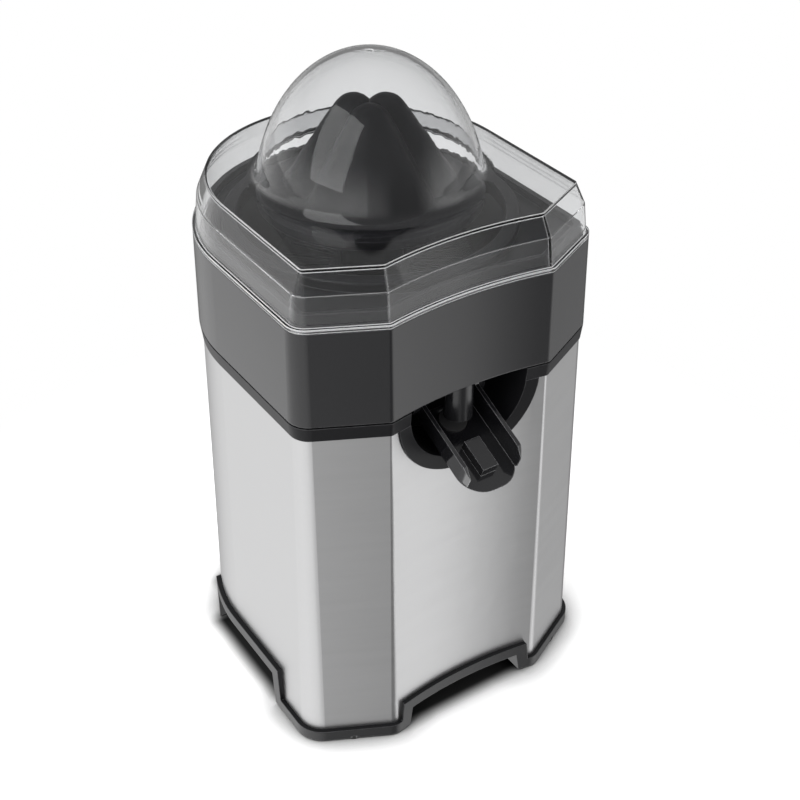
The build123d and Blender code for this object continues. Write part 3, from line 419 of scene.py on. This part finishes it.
FINISHES: list[Finish] = [
    Metal("brushed_steel", (0.46, 0.46, 0.463), 0.36, lines=2400.0, run=22.0, depth=0.03, streak=0.05,
          anisotropy=0.45, edge=0.00015),
    Moulded("trim_plastic", (0.010, 0.010, 0.011), 0.34, grain=1100.0, depth=0.08, ior=1.42),
    Moulded("foot_rubber", (0.020, 0.020, 0.020), 0.80, grain=700.0, depth=0.30, wear_and_highlight=0.10),
    Moulded("bottom_plastic", (0.030, 0.030, 0.032), 0.55, grain=600.0, depth=0.35),
    Moulded("seal_rubber", (0.025, 0.025, 0.026), 0.75, grain=800.0, depth=0.25, wear_and_highlight=0.10),
    Moulded("deck_plastic", (0.008, 0.008, 0.009), 0.32, grain=1100.0, depth=0.06, ior=1.21),
    Moulded("gearbox_plastic", (0.62, 0.60, 0.53), 0.50, grain=500.0, depth=0.15, mottle=0.06, wear_and_highlight=0.1),
    Metal("bush_bronze", (0.50, 0.33, 0.17), 0.42, lines=1800.0, run=60.0, depth=0.15, streak=0.15),
    Metal("shaft_steel", (0.58, 0.59, 0.61), 0.22, lines=3600.0, run=30.0, depth=0.05, streak=0.05),
    Moulded("gear_nylon", (0.80, 0.78, 0.70), 0.45, grain=450.0, depth=0.10, mottle=0.05, wear_and_highlight=0.05),
    Metal("pinion_brass", (0.75, 0.56, 0.24), 0.28, lines=3000.0, run=40.0, depth=0.06, streak=0.08),
    Moulded("cup_plastic", (0.08, 0.085, 0.095), 0.40, grain=700.0, depth=0.10),
    Moulded("switch_plastic", (0.035, 0.035, 0.037), 0.38, grain=900.0, depth=0.08),
    Moulded("terminal_plastic", (0.74, 0.71, 0.60), 0.42, grain=600.0, depth=0.10, mottle=0.06, wear_and_highlight=0.05),
    Moulded("lead_plastic", (0.32, 0.035, 0.025), 0.38, grain=1500.0, depth=0.06),
    Metal("screw_steel", (0.55, 0.56, 0.57), 0.35, lines=2400.0, run=80.0, depth=0.10, streak=0.12),
    Metal("core_iron", (0.20, 0.20, 0.21), 0.48, lines=2000.0, run=3.0, depth=0.60, streak=0.30),
    Metal("coil_copper", (0.58, 0.27, 0.13), 0.30, lines=1400.0, run=4.0, depth=0.60, streak=0.22),
    Metal("bracket_metal", (0.62, 0.63, 0.64), 0.45, lines=900.0, run=700.0, depth=0.15, streak=0.10),
    Moulded("collector_plastic", (0.010, 0.010, 0.011), 0.19, grain=1300.0, depth=0.04, mottle=0.08,
            ior=1.46),
    # The spout's edges are lightened strongly: partly wear, partly a painted highlight.
    Moulded("spout_plastic", (0.006, 0.006, 0.007), 0.10, grain=300.0, depth=0.02, mottle=0.10, coat=1.0,
            wear_and_highlight=0.8, ior=1.60),
    Moulded("strainer_plastic", (0.006, 0.006, 0.007), 0.30, grain=500.0, depth=0.03, ior=1.30),
    Moulded("reamer_plastic", (0.005, 0.005, 0.006), 0.42, grain=400.0, depth=0.02, ior=1.18),
    Clear("cover_clear", (0.885, 0.889, 0.894), 0.012),
]
FINISH: dict[str, Finish] = {finish.name: finish for finish in FINISHES}


@dataclass
class SubAssembly:
    """A group of CAD nodes that belong together.

    Attributes:
        nodes: the CAD nodes of the group.
    """

    nodes: list[str]

    def slot_of(self, node: str) -> str:
        """Return the record's material slot of a node."""
        rows = {row["node"]: row["material_slot"] for row in frame["record"]["subparts"]}
        return rows[node]

    def paint(self, piece: bpy.types.Object, slot: str) -> None:
        """Give a piece the one finish of a slot."""
        piece.data.materials.clear()
        piece.data.materials.append(FINISH[slot].material())

    def dress(self) -> None:
        """Paint the group's CAD nodes."""
        for node in self.nodes:
            self.paint(frame["nodes"][node], self.slot_of(node))
            LOG.info("dressed %s in %s", node, self.slot_of(node))


@dataclass
class CoilSpring:
    """The return spring, copied from its CAD node.

    Attributes:
        node: the CAD node that the piece stands for.
        still: body that carries the spring's lower end; not used.
        moving: body that presses on its upper end; not used.
        weld: distance within which the copied points are merged.
    """

    node: str = "return_spring"
    still: str = "base"
    moving: str = "press"
    weld: float = 1e-6

    def build(self) -> None:
        """Copy the painted node, merge its doubles, hide the node and bake the copy's transform."""
        source = frame["nodes"][self.node]
        piece = bpy.data.objects.new("coil_spring", source.data.copy())
        bpy.context.scene.collection.objects.link(piece)
        bpy.ops.object.select_all(action="DESELECT")
        piece.select_set(True)
        bpy.context.view_layer.objects.active = piece
        bpy.ops.object.mode_set(mode="EDIT")
        bpy.ops.mesh.select_all(action="SELECT")
        bpy.ops.mesh.remove_doubles(threshold=self.weld)
        bpy.ops.object.mode_set(mode="OBJECT")
        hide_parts(self.node)
        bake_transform(piece)


@dataclass(frozen=True)
class Lamp:
    """A soft rectangular lamp that faces a target.

    Attributes:
        name: the lamp's name.
        place: where it hangs.
        target: the point that it faces.
        size: its width and height.
        power: its power in watts.
        mirrored: whether the inside of the clear cover mirrors it.
    """

    name: str
    place: Triple
    target: Triple
    size: tuple[float, float]
    power: float
    mirrored: bool = False

    def build(self) -> None:
        """Hang the lamp in the scene."""
        data = bpy.data.lights.new(self.name, "AREA")
        data.shape = "RECTANGLE"
        data.size, data.size_y = self.size
        data.energy = self.power
        lamp = bpy.data.objects.new(self.name, data)
        lamp.location = self.place
        lamp.visible_glossy = False
        lamp.visible_transmission = self.mirrored
        way = Vector(self.target) - Vector(self.place)
        lamp.rotation_euler = way.to_track_quat("-Z", "Y").to_euler()
        bpy.context.scene.collection.objects.link(lamp)


LAMPS = [
    Lamp("key_left", (-0.75, -0.15, 0.75), (0.0, 0.0, 0.12), (0.7, 0.9), 6.0, mirrored=True),
    Lamp("fill_front", (0.35, -1.1, 0.7), (0.0, 0.0, 0.15), (0.9, 0.7), 3.0),
    Lamp("top_soft", (0.1, 0.25, 1.2), (0.0, 0.0, 0.2), (1.0, 1.0), 6.0),
]


@dataclass
class Studio:
    """Floor, world and camera of the picture.

    Attributes:
        eye: the camera's place, in metres.
        aim: the point that it looks at.
        lens: focal length in millimetres.
        sensor: width of the camera's frame in millimetres.
        floor_size: side of the square floor.
        floor_tone: the floor's level as it lights the object, and as it is seen.
        shade: distances from the middle between which the floor's shadow fades to white.
        contact: how far off a piece darkens the floor beside it, a contact shade painted into the floor's
            colour from ambient occlusion.
        contact_power: how steeply it does so.
        under: half width, half depth, and middle in X and Y, of the shadow painted dark on the
        floor behind each arch and under the body.
        under_fade: distance over which that painted shadow fades out.
        under_tone: share of the floor's level that the painted shadow leaves.
        fill: the surround's level as it lights the object.
        shine: brightest level that shiny surfaces see round the studio.
        surround: share of the shine at a direction in degrees, turning left from +X.
        overhead: share of the shine from above, the same all round.
        climb: rises of a direction between which the surround turns into the overhead shine.
    """

    eye: Vector = field(default_factory=lambda: Vector((-0.29458, -0.46435, 0.52501)))
    aim: Vector = field(default_factory=lambda: Vector((0.0239, 0.0192, 0.1164)))
    lens: float = 62.89
    sensor: float = 36.0
    floor_size: float = 8.0
    floor_tone: tuple[float, float] = (0.86, 1.4)
    shade: tuple[float, float] = (0.14, 0.30)
    contact: float = 0.016
    contact_power: float = 1.6
    # Boxes of shadow painted on the floor behind each arch and under the body.
    under: tuple[tuple[float, float, float, float], ...] = (
        (0.033, 0.049, 0.0, -0.022), (0.039, 0.030, -0.036, 0.0085), (0.039, 0.030, 0.036, 0.0085),
        (0.060, 0.060, 0.0, 0.006))
    under_fade: float = 0.010
    under_tone: float = 0.02
    fill: float = 0.5
    shine: float = 1.6
    surround: list[tuple[float, float]] = field(default_factory=lambda: [
        (-180.0, 1.0), (-126.5, 0.90), (-124.5, 0.56), (-112.0, 0.40), (-100.0, 0.15), (-76.0, 0.15),
        (-66.0, 0.42), (-54.0, 0.94), (-30.0, 0.98), (-20.0, 0.60), (-4.0, 0.44), (22.0, 0.13), (75.0, 0.13),
        (104.0, 0.70), (120.0, 0.92), (180.0, 1.0)])
    overhead: float = 0.20
    climb: tuple[float, float] = (-0.10, 0.50)

    def build(self) -> None:
        """Make the floor, world, lamps and camera."""
        self.floor()
        self.world()
        for lamp in LAMPS:
            lamp.build()
        self.camera()

    def glow(self, graph: Graph, parts: bpy.types.Node) -> Socket:
        """Return the surround's brightness in a ray's direction.

        Args:
            graph: the world's graph.
            parts: node that separates the direction.

        Returns:
            The brightness output.
        """
        turn = graph.math("ARCTAN2", parts.outputs["Y"], parts.outputs["X"])
        share = graph.add("ShaderNodeMapRange", {"Value": turn, "From Min": -math.pi, "From Max": math.pi})
        ramp = graph.add("ShaderNodeValToRGB", {"Fac": share.outputs["Result"]})
        stops = ramp.color_ramp.elements
        while len(stops) < len(self.surround):
            stops.new(0.5)
        for stop, (degrees, level) in zip(stops, self.surround):
            stop.position = degrees / 360.0 + 0.5
            stop.color = (level, level, level, 1.0)
        return ramp.outputs["Color"]

    def paths(self, graph: Graph) -> tuple[Socket, Socket]:
        """Return masks of what is seen straight or through the cover, and of what is seen in a gloss."""
        rays = graph.add("ShaderNodeLightPath")
        sharp = graph.math("LESS_THAN", rays.outputs["Diffuse Depth"], 0.5)
        straight = graph.math("LESS_THAN", rays.outputs["Glossy Depth"], 0.5)
        first = graph.math("MULTIPLY", sharp, straight)
        return first, graph.math("SUBTRACT", sharp, first)

    def past(self, graph: Graph, value: Socket, middle: float, half: float) -> Socket:
        """Return how far a coordinate lies outside a stretch, squared."""
        off = graph.math("ABSOLUTE", graph.math("SUBTRACT", value, middle))
        over = graph.math("MAXIMUM", graph.math("SUBTRACT", off, half), 0.0)
        return graph.math("POWER", over, 2.0)

    def painted_shadow_mask(self, graph: Graph, place: Socket) -> Socket:
        """Return a mask of painted shadow that falls from 1 on the open floor to near 0 behind the arches
        and under the body.
        """
        parts = graph.add("ShaderNodeSeparateXYZ", {"Vector": place})
        mask: Any = 1.0
        # Each box paints a soft-edged shadow on the floor.
        for half_x, half_y, middle_x, middle_y in self.under:
            over_x = self.past(graph, parts.outputs["X"], middle_x, half_x)
            over_y = self.past(graph, parts.outputs["Y"], middle_y, half_y)
            beyond = graph.math("SQRT", graph.math("ADD", over_x, over_y))
            fade = graph.smooth(beyond, 0.0, self.under_fade, self.under_tone)
            mask = graph.math("MULTIPLY", mask, fade)
        return mask

    def floor(self) -> None:
        """Add the pale floor, white to the camera but for the shadow, with contact shade painted from
        ambient occlusion and shadow painted behind the arches and under the body.
        """
        bpy.ops.object.select_all(action="DESELECT")
        bpy.ops.mesh.primitive_plane_add(size=self.floor_size, location=(0.0, 0.0, 0.0))
        floor = bpy.context.active_object
        floor.name = "studio_floor"
        paint = bpy.data.materials.new("studio_floor_paint")
        paint.use_nodes = True
        paint.node_tree.nodes.clear()
        graph = Graph(paint.node_tree)
        place = graph.place()
        straight, _ = self.paths(graph)
        # Painted contact shade: ambient occlusion near each piece darkens the floor's colour.
        near = graph.add("ShaderNodeAmbientOcclusion", {"Distance": self.contact}, samples=12)
        painted_floor_shade = graph.math("POWER", near.outputs["AO"], self.contact_power)
        # Painted shadow behind the arches and under the body darkens it further.
        painted_floor_shade = graph.math("MULTIPLY", painted_floor_shade, self.painted_shadow_mask(graph, place))
        painted_floor_shade = graph.math("MAXIMUM", painted_floor_shade, graph.math("SUBTRACT", 1.0, straight))
        tone = graph.math("MULTIPLY", graph.span(straight, *self.floor_tone), painted_floor_shade)
        lit = graph.add("ShaderNodeBsdfDiffuse", {"Color": tone})
        reach = graph.add("ShaderNodeVectorMath", {"Vector": place}, operation="LENGTH")
        far = graph.smooth(reach.outputs["Value"], *self.shade)
        white = graph.add("ShaderNodeEmission", {"Color": WHITE, "Strength": 1.0})
        seen = graph.join(graph.math("MULTIPLY", far, straight), lit.outputs[0], white.outputs[0])
        graph.add("ShaderNodeOutputMaterial", {"Surface": seen})
        floor.data.materials.append(paint)
        floor.visible_glossy = False

    def world(self) -> None:
        """Set a surround that is white when seen, soft as a light, and graded in a gloss."""
        world = bpy.data.worlds.new("studio_surround")
        world.use_nodes = True
        world.node_tree.nodes.clear()
        graph = Graph(world.node_tree)
        straight, glossy = self.paths(graph)
        way = graph.add("ShaderNodeTexCoord").outputs["Generated"]
        parts = graph.add("ShaderNodeSeparateXYZ", {"Vector": way})
        level = graph.span(straight, self.fill, 1.0)
        soft = graph.add("ShaderNodeBackground", {"Color": WHITE, "Strength": level})
        rise = graph.smooth(parts.outputs["Z"], *self.climb)
        above = [self.overhead, self.overhead, self.overhead, 1.0]
        glow = graph.mix(rise, self.glow(graph, parts), above)
        shine = graph.add("ShaderNodeBackground", {"Color": glow, "Strength": self.shine})
        both = graph.join(glossy, soft.outputs[0], shine.outputs[0])
        graph.add("ShaderNodeOutputWorld", {"Surface": both})
        bpy.context.scene.world = world

    def camera(self) -> None:
        """Add the camera at the picture's viewing angle."""
        data = bpy.data.cameras.new("picture_camera")
        data.sensor_width = self.sensor
        data.lens = self.lens
        data.clip_start = 0.01
        camera = bpy.data.objects.new("picture_camera", data)
        camera.location = self.eye
        camera.rotation_euler = (self.aim - self.eye).to_track_quat("-Z", "Y").to_euler()
        bpy.context.scene.collection.objects.link(camera)
        bpy.context.scene.camera = camera


def main() -> None:
    """Build and dress the juicer, then set up the studio."""
    logging.basicConfig(level=logging.INFO)
    bpy.context.scene.view_settings.view_transform = "Standard"
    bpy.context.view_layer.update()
    groups = [
        SubAssembly(["dust_cover"]),
        SubAssembly(["reamer", "strainer_basket", "pulp_control_ring"]),
        SubAssembly(["juice_collector", "spout", "spout_pin", "drip_seal"]),
        SubAssembly(["steel_housing", "base_trim", "rubber_feet", "bottom_cover", "base_screws",
                     "cord_grommet", "terminal_block", "inner_leads", "deck", "shaft_seal"]),
        SubAssembly(["gearbox_cover", "gearbox_base", "gearbox_screws", "upper_bush", "lower_bush",
                     "idler_axle", "idler_gear", "motor_pinion", "output_gear", "drive_shaft",
                     "thrust_washer", "gear_clip", "thrust_cup", "return_spring", "microswitch",
                     "switch_lever", "switch_screws"]),
        SubAssembly(["motor_core", "motor_coil", "motor_top_bracket", "motor_bottom_bracket",
                     "motor_bearings", "motor_rotor", "motor_screws"]),
    ]
    for group in groups:
        group.dress()
    CoilSpring().build()
    Studio().build()


if __name__ == "__main__":
    main()
